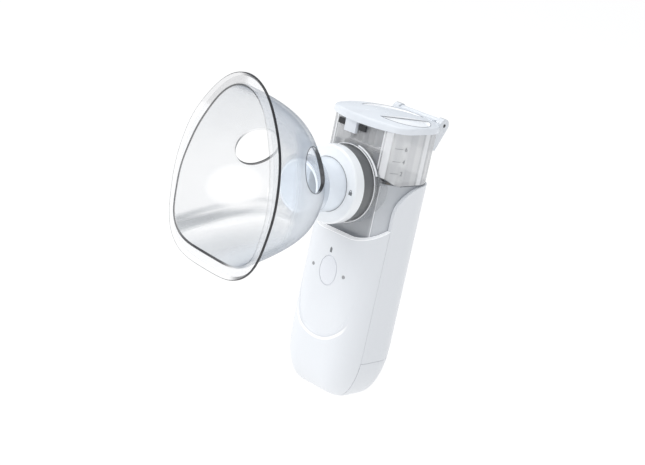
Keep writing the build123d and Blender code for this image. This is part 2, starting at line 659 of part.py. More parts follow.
crown_centre = (0, LID_CROWN_Y, LID_CROWN_Z - LID_CROWN_RADIUS)
with BuildPart() as lid_crown:
    with Locations(crown_centre):
        Sphere(LID_CROWN_RADIUS)
with BuildPart() as dishes:
    with BuildSketch(Plane.XY.offset(LID_BOTTOM)):
        with BuildLine():           # crescent on the right
            right_front_end = (6.0, -13.0)
            right_rear_end = (12.6, 9.5)
            ThreePointArc(right_front_end, (18.6, -4.0), right_rear_end)
            Line(right_rear_end, right_front_end)
        make_face()
        with BuildLine():           # crescent on the left
            left_front_end = (-10.5, -6.0)
            left_rear_end = (6.5, 13.0)
            ThreePointArc(left_front_end, (-8.5, 9.5), left_rear_end)
            Line(left_rear_end, left_front_end)
        make_face()
    extrude(amount=8)
    with Locations(crown_centre):
        Sphere(LID_CROWN_RADIUS - DISH_DEPTH, mode=Mode.SUBTRACT)

latch_back = CUP_FRONT - FIT_GAP
knuckle_half = HINGE_EAR_X - HINGE_EAR_WIDTH / 2 - FIT_GAP
with BuildPart() as lid:
    extrude(lid_outline(LID_BOTTOM), amount=6)
    add(lid_crown.part, mode=Mode.INTERSECT)
    fillet(lid.faces().sort_by(Axis.Z)[-1].edges(), LID_ROUNDING)
    add(dishes.part, mode=Mode.SUBTRACT)
    # latch tab, which hangs between the two catches
    add(block((LATCH_X - LATCH_WIDTH / 2, latch_back - LATCH_THICKNESS, LATCH_BOTTOM),
              (LATCH_X + LATCH_WIDTH / 2, latch_back, LID_BOTTOM + 1)))
    # plug that closes the reservoir's mouth
    add(cup_solid(LID_BOTTOM - PLUG_DEPTH, LID_BOTTOM, PLUG_INSET, PLUG_FRONT))
    # hinge knuckle between the ears
    add(hinge_rod(KNUCKLE_RADIUS, -knuckle_half, 2 * knuckle_half))
    add(block((-knuckle_half, LID_REAR - 3.0, LID_BOTTOM + 0.2),
              (knuckle_half, HINGE_Y, HINGE_Z + 1.6)))
    for side in (-1, 1):            # room for the ears
        ear_x = side * HINGE_EAR_X
        reach = HINGE_EAR_WIDTH / 2 + FIT_GAP
        add(block((ear_x - reach, HINGE_Y - HINGE_EAR_RADIUS - FIT_GAP, LID_BOTTOM - 1),
                  (ear_x + reach, DEPTH, LID_CROWN_Z + 2)), mode=Mode.SUBTRACT)
    add(hinge_rod(PIN_RADIUS + PIN_CLEARANCE, -WIDTH / 2, WIDTH), mode=Mode.SUBTRACT)
finish(lid.part, "lid")

gasket_bottom = LID_BOTTOM - (PLUG_DEPTH + GASKET_HEIGHT) / 2
with BuildPart() as lid_gasket:
    add(cup_solid(gasket_bottom, gasket_bottom + GASKET_HEIGHT, PLUG_INSET - GASKET_THICKNESS,
                  PLUG_FRONT - GASKET_THICKNESS))
    add(cup_solid(LID_BOTTOM - 2, LID_BOTTOM, PLUG_INSET, PLUG_FRONT), mode=Mode.SUBTRACT)
finish(lid_gasket.part, "lid_gasket")

# ---------------------------------------------------------------- outlet adapter and tube
with BuildPart() as adapter_ring:
    add(outlet_disc(RING_RADIUS, RING_FRONT, RING_BACK))
    fillet(adapter_ring.edges().filter_by(GeomType.CIRCLE).sort_by(Axis.Y)[0], RING_ROUNDING)
    add(outlet_disc(SPIGOT_RADIUS, RING_BACK, SPIGOT_BACK))
    add(outlet_disc(TUBE_BORE, RING_FRONT - 1, SPIGOT_BACK + 1), mode=Mode.SUBTRACT)
finish(adapter_ring.part, "adapter_ring")

with BuildPart() as outlet_tube:
    add(outlet_disc(TUBE_RADIUS, TUBE_END, RING_FRONT))
    chamfer(outlet_tube.faces().sort_by(Axis.Y)[0].edges(), 0.4)
    add(outlet_disc(TUBE_BORE, TUBE_END - 1, RING_FRONT + 1), mode=Mode.SUBTRACT)
finish(outlet_tube.part, "outlet_tube")

# ---------------------------------------------------------------- face mask


def closed_outline(half, top, bottom):
    """All points of an outline that is the same left and right, top first, clockwise."""
    left = [(-x, z) for x, z in reversed(half)]
    return [(0, top)] + half + [(0, bottom)] + left


def bowl_section(size, shrink, y):
    """Section of the bowl: the mouth's outline drawn in towards the round neck."""
    points = []
    neck = NECK_RADIUS - shrink
    for x, z in closed_outline(MOUTH_HALF, MOUTH_TOP, MOUTH_BOTTOM):
        reach = math.hypot(x, z - AXIS_Z)
        radius = neck + (reach + MASK_WALL - shrink - neck) * size
        points.append((x / reach * radius, (z - AXIS_Z) / reach * radius))
    with BuildSketch(OUTLET_PLANE.offset(-y)) as section:
        with BuildLine():
            Spline(*points, periodic=True)
        make_face()
    return section.sketch


def bowl_solid(shrink, length):
    """Solid of the bowl, from the rim back to the neck."""
    sections = []
    for step in range(MASK_SECTIONS):
        angle = math.pi / 2 * step / (MASK_SECTIONS - 1)
        reach = math.sin(angle) ** MASK_REACH_POWER
        size = max(math.cos(angle), 0.0) ** MASK_SIZE_POWER
        sections.append(bowl_section(size, shrink, MASK_RIM_Y + length * reach))
    with BuildPart() as solid:
        loft(sections)
    return solid.part


with BuildPart() as vent_cutter:
    vent_normal = Vector(1, 0, 0).rotate(Axis.Y, -VENT_ELEVATION).rotate(Axis.Z, VENT_AZIMUTH)
    with BuildSketch(Plane(origin=VENT_CENTRE, z_dir=vent_normal)):
        Circle(VENT_RADIUS)
    extrude(amount=6, both=True)
    mirror(about=Plane.YZ)

mask_neck_y = MASK_RIM_Y + MASK_LENGTH
with BuildPart() as face_mask:
    add(bowl_solid(0.0, MASK_LENGTH))
    with BuildSketch(OUTLET_PLANE.offset(-MASK_RIM_Y - MASK_FLANGE)):
        with BuildLine():
            Spline(*[(x, z - AXIS_Z) for x, z in
                     closed_outline(FLANGE_HALF, FLANGE_TOP, FLANGE_BOTTOM)], periodic=True)
        make_face()
    extrude(amount=MASK_FLANGE)
    add(outlet_disc(SLEEVE_RADIUS, mask_neck_y - 1, SLEEVE_END))
    add(bowl_solid(MASK_WALL, MASK_LENGTH - 1.2 * MASK_WALL), mode=Mode.SUBTRACT)
    add(outlet_disc(SLEEVE_BORE, mask_neck_y - 3, SLEEVE_END + 1), mode=Mode.SUBTRACT)
turned_mask = face_mask.part.rotate(OUTLET_AXIS, MASK_TURN)
finish(turned_mask - vent_cutter.part, "face_mask")
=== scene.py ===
"""Looks of the portable mesh nebulizer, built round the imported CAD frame. Metres, +Z up."""

import math

import bmesh
import bpy
from mathutils import Matrix, Vector
from mathutils.bvhtree import BVHTree


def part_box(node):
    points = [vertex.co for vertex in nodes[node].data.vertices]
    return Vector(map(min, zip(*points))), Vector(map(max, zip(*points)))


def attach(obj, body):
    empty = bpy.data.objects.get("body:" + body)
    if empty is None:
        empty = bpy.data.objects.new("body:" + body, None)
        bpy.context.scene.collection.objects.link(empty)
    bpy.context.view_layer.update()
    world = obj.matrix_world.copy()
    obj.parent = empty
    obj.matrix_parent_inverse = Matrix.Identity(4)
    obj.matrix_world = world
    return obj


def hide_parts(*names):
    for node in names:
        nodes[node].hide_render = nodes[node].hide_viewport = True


MM = 0.001

# Camera: 85 mm lens seen from the front right, slightly above, with the object leaning to the right
CAMERA_AT = Vector((0.38403, -0.47620, 0.23761))
CAMERA_AZIMUTH = math.radians(40.485)
CAMERA_ELEVATION = math.radians(15.793)
CAMERA_ROLL = math.radians(11.874)
CAMERA_LENS = 85.0

# Mask: walls and the curve from rim to neck
MASK_WALL = 1.0 * MM
MASK_FLANGE = 1.3 * MM
MASK_LENGTH = 40.4 * MM
MASK_NECK_RADIUS = 13.2 * MM
MASK_REACH_POWER = 1.92
MASK_SIZE_POWER = 0.87
FLANGE_ROUND = 0.3 * MM         # rounding of the flange's outer edge and of the mouth's edge
MOUTH_ROUND = 0.45 * MM
SLEEVE_RADIUS = 12.5 * MM
SLEEVE_BORE = 11.3 * MM
VENT_CENTRE = Vector((16.4, -56.9, 103.2)) * MM
VENT_AZIMUTH = math.radians(23.6)
VENT_ELEVATION = math.radians(21.5)
VENT_RADIUS = 8.8 * MM
SMILE_CENTRE_Z = 40.1 * MM      # crescent step on the front
SMILE_RADIUS = 15.4 * MM
RIM_SLOPE = 0.62                # cut rim of the front shell, where the painted highlight lies: rise per depth, and its level at mid-depth
RIM_LEVEL = 80.96 * MM
BUTTON_Z = 53.3 * MM            # button's centre, and the middle of the groove round it
BUTTON_GROOVE = (4.62 * MM, 6.37 * MM)
SMILE_EDGE = 1.1 * MM           # width of the painted highlight along the step's edge
CUP_FOOT_Z = 95.0 * MM          # lower edge of the cup
MASK_AROUND = 192               # mesh divisions round the mask and along the bowl
MASK_ALONG = 72
VENT_AROUND = 96                # mesh divisions round a vent
OUTLINE_HARMONICS = 14          # harmonics kept when the mask's outline is smoothed

# Lid: the two crescent dishes, as (start, middle, end) of each arc in millimetres
LID_CRESCENTS = (((6.0, -13.0), (18.6, -4.0), (12.6, 9.5)), ((-10.5, -6.0), (-8.5, 9.5), (6.5, 13.0)))
LID_LINE_GAP = 0.2              # from a dish's edge to the line round it, in millimetres
LID_LINE_STEPS = 48
ABOVE_THE_LID = 200.0           # height that rays fall from, in millimetres

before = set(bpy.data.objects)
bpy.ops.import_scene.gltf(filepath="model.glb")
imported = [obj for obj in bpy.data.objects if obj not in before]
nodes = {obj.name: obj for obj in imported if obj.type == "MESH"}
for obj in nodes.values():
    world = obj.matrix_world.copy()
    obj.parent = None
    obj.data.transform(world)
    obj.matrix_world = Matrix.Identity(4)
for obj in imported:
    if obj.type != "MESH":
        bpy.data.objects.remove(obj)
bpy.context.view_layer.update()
scene = bpy.context.scene

AXIS_Z = (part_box("outlet_tube")[0].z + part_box("outlet_tube")[1].z) / 2
RIM_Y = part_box("face_mask")[0].y
RING_FACE_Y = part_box("adapter_ring")[0].y


# ---------------------------------------------------------------- node helpers
class Nodes:
    """A small wrapper that builds one material's node tree."""

    def __init__(self, name):
        self.material = bpy.data.materials.new(name)
        self.material.use_nodes = True
        self.tree = self.material.node_tree
        self.tree.nodes.clear()
        self.output = self.tree.nodes.new("ShaderNodeOutputMaterial")

    @classmethod
    def over(cls, material):
        """A wrapper round a material that is already made."""
        n = cls.__new__(cls)
        n.material = material
        n.tree = material.node_tree
        return n

    def add(self, kind, **inputs):
        """A node with its input values or links set by name."""
        node = self.tree.nodes.new(kind)
        for key, value in inputs.items():
            self.put(node, key.replace("_", " "), value)
        return node

    def put(self, node, key, value):
        """Set or link one input, given by name or number."""
        socket = node.inputs[key]
        if isinstance(value, bpy.types.NodeSocket):
            self.tree.links.new(value, socket)
        else:
            socket.default_value = value

    def place(self):
        """Object coordinates in metres."""
        return self.add("ShaderNodeTexCoord").outputs["Object"]

    def axes(self):
        """Object coordinates as separate x, y and z sockets."""
        node = self.add("ShaderNodeSeparateXYZ", Vector=self.place())
        return node.outputs["X"], node.outputs["Y"], node.outputs["Z"]

    def noise(self, scale, detail=3.0, vector=None, stretch=None):
        """Noise between 0 and 1 at a scale per metre."""
        vector = vector or self.place()
        if stretch:
            mapping = self.add("ShaderNodeMapping", Vector=vector, Scale=stretch)
            vector = mapping.outputs["Vector"]
        node = self.add("ShaderNodeTexNoise", Vector=vector, Scale=scale, Detail=detail)
        return node.outputs["Fac"]

    def ramp(self, value, low, high, from_low=0.0, from_high=1.0):
        """A value mapped to a new range, clamped."""
        node = self.add("ShaderNodeMapRange", Value=value, From_Min=from_low, From_Max=from_high,
                        To_Min=low, To_Max=high)
        return node.outputs["Result"]

    def smooth(self, value, from_low, from_high, low=0.0, high=1.0):
        """A smooth step between two values."""
        node = self.add("ShaderNodeMapRange", Value=value, From_Min=from_low, From_Max=from_high,
                        To_Min=low, To_Max=high)
        node.interpolation_type = "SMOOTHSTEP"
        return node.outputs["Result"]

    def step(self, value, start, end, low=0.0, high=1.0):
        """A smooth step between two places in millimetres."""
        return self.smooth(value, start * MM, end * MM, low, high)

    def band(self, value, start, end, soft=0.25):
        """1 between two places in millimetres, with soft ends."""
        return self.product(self.step(value, start - soft, start + soft),
                            self.step(value, end + soft, end - soft))

    def product(self, first, *others):
        """Values multiplied together."""
        for other in others:
            first = self.maths("MULTIPLY", first, other)
        return first

    def total(self, first, *others):
        """Values added up."""
        for other in others:
            first = self.maths("ADD", first, other)
        return first

    def length(self, first, second):
        """Length of a flat vector."""
        squares = self.total(self.product(first, first), self.product(second, second))
        return self.maths("SQRT", squares)

    def mix_colour(self, factor, first, second):
        """A blend of two colours."""
        node = self.tree.nodes.new("ShaderNodeMix")
        node.data_type = "RGBA"
        for index, value in ((0, factor), (6, first), (7, second)):
            self.put(node, index, value)
        return node.outputs[2]

    def maths(self, operation, first, second=0.0):
        """One arithmetic step."""
        node = self.tree.nodes.new("ShaderNodeMath")
        node.operation = operation
        self.put(node, 0, first)
        self.put(node, 1, second)
        return node.outputs[0]

    def bump(self, height, strength, distance):
        """A normal from a height."""
        node = self.add("ShaderNodeBump", Height=height, Strength=strength, Distance=distance)
        return node.outputs["Normal"]

    def finish(self, shader):
        """Link the surface and give back the material."""
        self.tree.links.new(shader, self.output.inputs["Surface"])
        return self.material


def rgba(colour):
    """A colour with full alpha."""
    return (*colour, 1.0)


def moulded(name, colour, roughness=0.35, mottle=0.02, grain=0.02, grain_scale=9000.0, coat=0.0,
            metallic=0.0):
    """Moulded plastic, rubber or metal with a fine grain and uneven gloss."""
    n = Nodes(name)
    cloud = n.noise(60.0)
    fine = n.noise(grain_scale, 2.0)
    dark = tuple(c * (1 - mottle) for c in colour)
    bsdf = n.add("ShaderNodeBsdfPrincipled", Base_Color=n.mix_colour(cloud, rgba(dark), rgba(colour)),
                 Roughness=n.ramp(fine, roughness * 0.85, roughness * 1.15, 0.3, 0.7),
                 Normal=n.bump(fine, grain, 0.00005))
    bsdf.inputs["Metallic"].default_value = metallic
    bsdf.inputs["Coat Weight"].default_value = coat
    bsdf.inputs["Coat Roughness"].default_value = 0.05
    return n.finish(bsdf.outputs[0])


def moulded_front(name, colour):
    """The front shell: moulded white, with a painted highlight along the crescent step's edge and painted
    shade just inside it, and a painted highlight with faint emission on the cut rim.
    """
    n = Nodes(name)
    x, y, z = n.axes()
    beyond = n.maths("SUBTRACT", n.length(x, n.maths("SUBTRACT", z, SMILE_CENTRE_Z)), SMILE_RADIUS)
    fade = n.smooth(z, SMILE_CENTRE_Z - 4.0 * MM, SMILE_CENTRE_Z - 11.0 * MM)
    shown = n.product(fade, n.step(y, -10, -12))
    # painted highlight just outside the step's arc, and painted shade just inside it
    past = n.maths("SUBTRACT", beyond, n.product(fade, SMILE_EDGE))
    painted_highlight = n.product(n.step(beyond, -0.15, 0.15), n.step(past, 0.25, -0.25), shown)
    shadow = n.product(n.step(beyond, -0.75, -0.25), n.step(beyond, 0.1, -0.1), shown)
    # painted highlight on the cut rim, with a faint glow from emission
    slope = n.maths("SUBTRACT", z, n.product(y, RIM_SLOPE))
    rim = n.smooth(slope, RIM_LEVEL - 0.25 * MM, RIM_LEVEL - 0.1 * MM)
    cloud = n.noise(60.0)
    fine = n.noise(9000.0, 2.0)
    base = n.mix_colour(cloud, rgba(tuple(c * 0.985 for c in colour)), rgba(colour))
    base = n.mix_colour(n.product(shadow, 0.5), base, rgba(tuple(c * 0.80 for c in colour)))
    base = n.mix_colour(painted_highlight, base, rgba((1.0, 1.0, 1.0)))
    base = n.mix_colour(rim, base, rgba((0.95, 0.96, 0.98)))
    lift = n.mix_colour(rim, rgba((0.0, 0.0, 0.0)), rgba((1.0, 1.0, 1.0)))
    bsdf = n.add("ShaderNodeBsdfPrincipled", Base_Color=base, Emission_Color=lift, Emission_Strength=0.2,
                 Roughness=n.ramp(fine, 0.27, 0.37, 0.3, 0.7), Normal=n.bump(fine, 0.03, 0.00005))
    return n.finish(bsdf.outputs[0])


def clear(name, colour, density, edge, roughness=0.04, gloss=1.0, shade=None,
          rim=(0.5, 0.53, 0.57), painted_glow=0.0):
    """Clear plastic sheet: tinted, denser where seen edge-on, with a glossy skin.

    rim is the tint where the sheet is seen edge-on; glow is painted light, an emission that lifts the tint
    as if lit from inside. shade may be a function that takes the node builder and gives (colour, density)
    sockets.
    """
    n = Nodes(name)
    cloud = n.noise(45.0)
    facing = n.add("ShaderNodeLayerWeight", Blend=0.5).outputs["Facing"]
    rise = n.maths("POWER", facing, 3.0)
    body, base = shade(n) if shade else (rgba(colour), density)
    solid = n.maths("ADD", n.maths("MULTIPLY", rise, edge - density), base)
    solid = n.maths("MULTIPLY", solid, n.ramp(cloud, 0.92, 1.08, 0.3, 0.7))
    body = n.mix_colour(n.smooth(facing, 0.50, 1.0), body, rgba(rim))
    see = n.add("ShaderNodeBsdfTransparent", Color=(1, 1, 1, 1))
    tint = n.add("ShaderNodeBsdfPrincipled", Base_Color=body, Roughness=0.5)
    # painted light: an emission that lifts the tint
    tint.inputs["Emission Color"].default_value = rgba((0.86, 0.92, 1.0))
    tint.inputs["Emission Strength"].default_value = painted_glow
    mixed = n.add("ShaderNodeMixShader", Fac=solid)
    n.tree.links.new(see.outputs[0], mixed.inputs[1])
    n.tree.links.new(tint.outputs[0], mixed.inputs[2])
    skin = n.add("ShaderNodeBsdfGlossy", Color=(1, 1, 1, 1),
                 Roughness=n.ramp(n.noise(300.0), roughness * 0.7, roughness * 1.3, 0.3, 0.7))
    grazing = n.maths("POWER", facing, 5.0)
    mirror = n.maths("ADD", n.maths("MULTIPLY", grazing, 0.96 * gloss), 0.04 * gloss)
    top = n.add("ShaderNodeMixShader", Fac=mirror)
    n.tree.links.new(mixed.outputs[0], top.inputs[1])
    n.tree.links.new(skin.outputs[0], top.inputs[2])
    return n.finish(top.outputs[0])


def paint_bore_light(material):
    """Paint light into a clear tube by its emission: pale in the bore, as if lit through the wall, and dim
    outside.
    """
    n = Nodes.over(material)
    x, _, z = n.axes()
    far = n.length(x, n.maths("SUBTRACT", z, AXIS_Z))
    bore = n.step(far, 10.5, 10.1)
    colour = n.mix_colour(bore, rgba((0.20, 0.21, 0.23)), rgba((0.88, 0.94, 1.0)))
    for node in n.tree.nodes:
        if node.type == "BSDF_PRINCIPLED":
            n.put(node, "Emission Color", colour)


def paint(node, material):
    """Give a CAD node its material."""
    mesh = nodes[node].data
    mesh.materials.clear()
    mesh.materials.append(material)


def add_piece(name, mesh, body):
    """A new mesh piece that rides on a body."""
    piece = bpy.data.objects.new(name, mesh)
    scene.collection.objects.link(piece)
    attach(piece, body)
    return piece


# ---------------------------------------------------------------- materials
housing = moulded("housing_white", (0.80, 0.82, 0.85), 0.32, 0.015, 0.03)
housing_front = moulded_front("housing_front", (0.80, 0.82, 0.85))
button_white = moulded("button_white", (0.80, 0.82, 0.86), 0.28, 0.02, 0.04)
adapter_white = moulded("adapter_white", (0.92, 0.94, 0.96), 0.22, 0.015, 0.02, coat=0.3)
dark_plastic = moulded("inner_dark", (0.02, 0.022, 0.026), 0.3, 0.1, 0.05)
smoke_plastic = moulded("inner_smoke", (0.24, 0.25, 0.265), 0.3, 0.1, 0.05)
seal_rubber = moulded("seal_dark", (0.15, 0.155, 0.16), 0.3, 0.1, 0.06)
gasket_silicone = moulded("gasket_clear", (0.55, 0.58, 0.60), 0.5, 0.05, 0.05)
gold = moulded("contact_metal", (0.85, 0.62, 0.30), 0.25, 0.05, 0.02, metallic=1.0)
steel = moulded("spring_steel", (0.62, 0.63, 0.65), 0.28, 0.05, 0.02, metallic=1.0)
screw = moulded("screw_steel", (0.50, 0.51, 0.54), 0.3, 0.08, 0.03, metallic=1.0)
mesh_metal = moulded("mesh_metal", (0.66, 0.67, 0.69), 0.3, 0.03, 0.05, metallic=1.0)
ceramic = moulded("piezo_ceramic", (0.70, 0.64, 0.50), 0.4, 0.06, 0.05)
board = moulded("board_green", (0.02, 0.16, 0.07), 0.35, 0.25, 0.05)
chip = moulded("chip_black", (0.02, 0.02, 0.022), 0.5, 0.15, 0.08)
led = moulded("led_lens", (0.75, 0.78, 0.66), 0.15, 0.05, 0.02)
cell = moulded("cell_jacket", (0.16, 0.18, 0.22), 0.25, 0.1, 0.02, metallic=0.6)
icon_lens = moulded("icon_lens", (0.36, 0.365, 0.375), 0.15, 0.1, 0.02)


# black of the painted shade along the mask's edges
EDGE_SHADE_BLACK = rgba((0.004, 0.005, 0.008))


def mask_edge_shade(n):
    """The mask's outer edge, painted shade: dark on the right and at the top, softer on the left."""
    x, y, z = n.axes()
    strip = n.smooth(y, RIM_Y + 0.40 * MM, RIM_Y + 0.25 * MM)
    front = n.product(strip, n.step(x, -20, 6, 0.72, 0.95))
    start = n.step(z, 70, 120, 13 * MM, -1 * MM)
    right = n.step(n.maths("SUBTRACT", x, start), -3, 3, 0.0, 0.98)
    return EDGE_SHADE_BLACK, n.maths("MAXIMUM", front, right)


def vent_edge_shade(n):
    """A vent's cut edge, painted shade: on the +X side black towards the outlet, on the other dark below its
    top.
    """
    x, y, z = n.axes()
    right_vent = n.step(x, -1, 1)
    left = n.product(n.ramp(right_vent, 0.80, 0.0), n.step(z, 110, 104))
    right = n.product(right_vent, n.ramp(n.step(y, -56, -52), 0.22, 0.97))
    return EDGE_SHADE_BLACK, n.maths("MAXIMUM", left, right)


def mouth_edge_shade(n):
    """The mouth's edge, painted shade: a fine line all round, darkest low on the left."""
    x, y, z = n.axes()
    low = n.step(z, 74, 67, 0.0, 0.95)
    strip = n.smooth(y, RIM_Y + 0.32 * MM, RIM_Y + 0.16 * MM, 0.12, 0.80)
    density = n.product(n.maths("MAXIMUM", low, strip), n.ramp(n.step(x, 6, 14), 1.0, 0.18))
    return rgba((0.01, 0.012, 0.016)), density


def mask_shade(n):
    """The bowl's wall: light, with painted shade in grey bands low down and along the top of its +X side, a
    bluer painted shade on that side, painted highlights where each side is cleared, and pale painted light in
    front of the outlet.
    """
    x, y, z = n.axes()
    level = n.maths("SUBTRACT", z, n.product(n.total(y, 83 * MM), 0.2))
    lifted = n.add("ShaderNodeCombineXYZ", X=x, Y=y, Z=level).outputs[0]
    wave = n.noise(55.0, 2.0, vector=lifted, stretch=(0.4, 0.3, 7.0))
    # painted shade: a darker chin and grey streaks low down
    chin_shade = n.step(level, 68, 63.5)
    streak_shade = n.product(n.step(level, 68, 70), n.step(level, 76, 73), n.smooth(wave, 0.36, 0.60))
    # painted highlight: a clear patch in the middle of each side
    across = n.ramp(y, -1.0, 1.0, -75.5 * MM, -47 * MM)
    upright = n.ramp(z, -1.0, 1.0, 76 * MM, 95.5 * MM)
    patch = n.smooth(n.total(n.product(across, across), n.product(upright, upright)), 1.0, 0.45)
    density = n.total(n.product(chin_shade, 0.24), n.product(streak_shade, 0.34), 0.10,
                      n.product(n.step(z, 98, 122), 0.07))
    density = n.product(density, n.ramp(patch, 1.0, 0.12))
    # painted shade along the top of the +X side, and pale painted light on the part of that side in front of
    # the outlet
    near = n.step(x, -4, 6)
    ridge_shade = n.product(near, n.step(n.total(z, n.product(y, 0.75)), 52.5, 58.5))
    sleeve = n.product(n.step(x, 8, 14), n.step(y, -76, -62))
    density = n.total(density, n.product(ridge_shade, 0.07))
    density = n.maths("MAXIMUM", density, n.product(sleeve, 0.55))
    # colours: grey painted shade low down, a bluer painted shade on the +X side, pale painted light in front
    # of the outlet, and painted shade along the top
    grey = n.maths("MAXIMUM", chin_shade, streak_shade)
    colour = n.mix_colour(grey, rgba((0.58, 0.61, 0.65)), rgba((0.37, 0.40, 0.42)))
    colour = n.mix_colour(n.product(near, 0.6), colour, rgba((0.70, 0.76, 0.82)))
    colour = n.mix_colour(sleeve, colour, rgba((0.86, 0.90, 0.95)))
    colour = n.mix_colour(ridge_shade, colour, rgba((0.56, 0.62, 0.70)))
    return colour, density


def flange_shade(n):
    """The flange: pale, with a greyer patch beside the nose."""
    x, _, z = n.axes()
    nose = n.product(n.step(z, 118.5, 121.5), n.step(x, 2.2, 0.8))
    return n.mix_colour(nose, rgba((0.78, 0.79, 0.81)), rgba((0.50, 0.50, 0.51))), n.ramp(nose, 0.24, 0.36)


def cup_shade(n):
    """The cup: clear walls with upright bands of painted reflection, painted highlights and painted shade in
    bands and lines, and milky hinge ears at the rear.
    """
    x, y, z = n.axes()
    aside = n.maths("ABSOLUTE", x)
    front = n.step(y, -12.8, -15)
    wide = n.step(aside, 18.2, 18.8)
    # painted highlights: bright bands at the front corners and on the wide sides
    corner = n.product(front, n.total(n.band(aside, 12.5, 13.3), n.band(aside, 13.8, 16)))
    painted_highlight = n.maths("MAXIMUM", corner, n.product(wide, n.band(y, 1.8, 4.4)))
    # painted shade: dark lines on the wide sides, and a dark patch beside the collar
    lines = n.product(n.total(n.band(y, 0.8, 1.2), n.band(y, 5, 5.3)), 0.6)
    shade_beside_collar = n.product(front, n.band(aside, 9.2, 12), n.band(z, 99, 107))
    dark = n.maths("MAXIMUM", shade_beside_collar, n.product(wide, lines))
    ear = n.product(n.step(y, 14.3, 15), n.step(z, 105.5, 108.5))
    # upright bands of painted reflection
    upright = n.noise(190.0, 1.0, stretch=(1.0, 1.0, 0.01))
    colour = n.mix_colour(n.smooth(upright, 0.40, 0.60), rgba((0.74, 0.75, 0.77)), rgba((0.88, 0.89, 0.90)))
    colour = n.mix_colour(ear, colour, rgba((0.80, 0.83, 0.87)))
    colour = n.mix_colour(painted_highlight, colour, rgba((0.95, 0.96, 0.98)))
    colour = n.mix_colour(dark, colour, rgba((0.34, 0.35, 0.37)))
    density = n.maths("MAXIMUM", n.ramp(ear, 0.24, 0.85), n.ramp(n.step(aside, 15.5, 17), 0.24, 0.52))
    density = n.maths("MAXIMUM", density, n.product(painted_highlight, 0.72))
    return colour, n.maths("MAXIMUM", density, n.product(dark, 0.55))


def skirt_shade(n):
    """The skirt: smoky, lighter towards its lower edge."""
    x, _, z = n.axes()
    side = n.step(n.maths("ABSOLUTE", x), 12.5, 14.5, 0.34, 0.64)
    return n.mix_colour(n.step(z, 94, 74), rgba((0.56, 0.58, 0.61)), rgba((0.70, 0.72, 0.75))), side


def crescent(n, x, y, arc, chord, grow):
    """1 inside a crescent dish between an arc and its chord, made larger by grow millimetres."""
    (cx, cy, radius), (nx, ny, offset) = arc, chord
    far = n.length(n.maths("SUBTRACT", x, cx * MM), n.maths("SUBTRACT", y, cy * MM))
    side = n.total(n.product(x, nx), n.product(y, ny))
    edge = radius + grow
    start = offset - grow
    return n.product(n.step(far, edge + 0.1, edge - 0.1), n.step(side, start - 0.1, start + 0.1))


def arc_and_chord(start, middle, end):
    """Circle through three points, and the chord's normal towards the middle point, in millimetres."""
    (ax, ay), (bx, by), (ex, ey) = start, middle, end
    d = 2 * (ax * (by - ey) + bx * (ey - ay) + ex * (ay - by))
    a2, b2, e2 = ax * ax + ay * ay, bx * bx + by * by, ex * ex + ey * ey
    cx = (a2 * (by - ey) + b2 * (ey - ay) + e2 * (ay - by)) / d
    cy = (a2 * (ex - bx) + b2 * (ax - ex) + e2 * (bx - ax)) / d
    length = math.hypot(ex - ax, ey - ay)
    nx, ny = (ey - ay) / length, -(ex - ax) / length
    if (bx - ax) * nx + (by - ay) * ny < 0:
        nx, ny = -nx, -ny
    return (cx, cy, math.hypot(ax - cx, ay - cy)), (nx, ny, ax * nx + ay * ny)


def lid_shade(n):
    """The lid: milky, with a painted highlight in each of its two crescent dishes."""
    x, y, _ = n.axes()
    painted_highlight = 0.0
    for ends in LID_CRESCENTS:
        arc, chord = arc_and_chord(*ends)
        painted_highlight = n.maths("MAXIMUM", painted_highlight, crescent(n, x, y, arc, chord, 0.15))
    colour = n.mix_colour(painted_highlight, rgba((0.82, 0.85, 0.89)), rgba((1.0, 1.0, 1.0)))
    return colour, n.ramp(painted_highlight, 0.82, 0.99)


# painted light: the lid glows faintly
lid_milky = clear("lid_milky", (0.78, 0.81, 0.86), 0.82, 0.95, 0.22, 0.35, lid_shade,
                  (0.74, 0.78, 0.83), 0.05)
cup_clear = clear("cup_clear", (0.62, 0.64, 0.66), 0.14, 0.75, 0.03, 0.7, cup_shade, (0.24, 0.25, 0.27))
# painted light: the skirt glows faintly, lifting its shade beside the housing
skirt_clear = clear("skirt_clear", (0.42, 0.45, 0.49), 0.26, 0.60, 0.04, 0.7, skirt_shade,
                    (0.50, 0.53, 0.57), 0.08)
collar_clear = clear("collar_clear", (0.62, 0.64, 0.67), 0.14, 0.70, 0.03, 0.8)
# painted light: the outlet tube glows, paler in its bore
tube_clear = clear("tube_clear", (0.80, 0.84, 0.89), 0.72, 0.85, 0.05, 0.5, None, (0.6, 0.65, 0.7), 0.36)
paint_bore_light(tube_clear)
mask_edge = clear("mask_edge", (0.01, 0.01, 0.01), 0.9, 0.96, 0.1, 0.35, mask_edge_shade,
                  (0.01, 0.012, 0.016))
vent_edge = clear("vent_edge", (0.01, 0.01, 0.01), 0.5, 0.6, 0.1, 0.35, vent_edge_shade,
                  (0.01, 0.012, 0.016))
mouth_edge = clear("mouth_edge", (0.01, 0.01, 0.01), 0.6, 0.9, 0.1, 0.35, mouth_edge_shade,
                   (0.01, 0.012, 0.016))
mask_vinyl = clear("mask_vinyl", (0.6, 0.65, 0.7), 0.12, 0.95, 0.06, 0.6, mask_shade, (0.15, 0.18, 0.23))
flange_vinyl = clear("flange_vinyl", (0.88, 0.90, 0.93), 0.20, 0.50, 0.06, 0.6, flange_shade)
# grey for printed marks, and for fine lines of painted shade round the outlet
print_and_shade_grey = moulded("print_and_shade_grey", (0.20, 0.21, 0.22), 0.5, 0.1, 0.02)

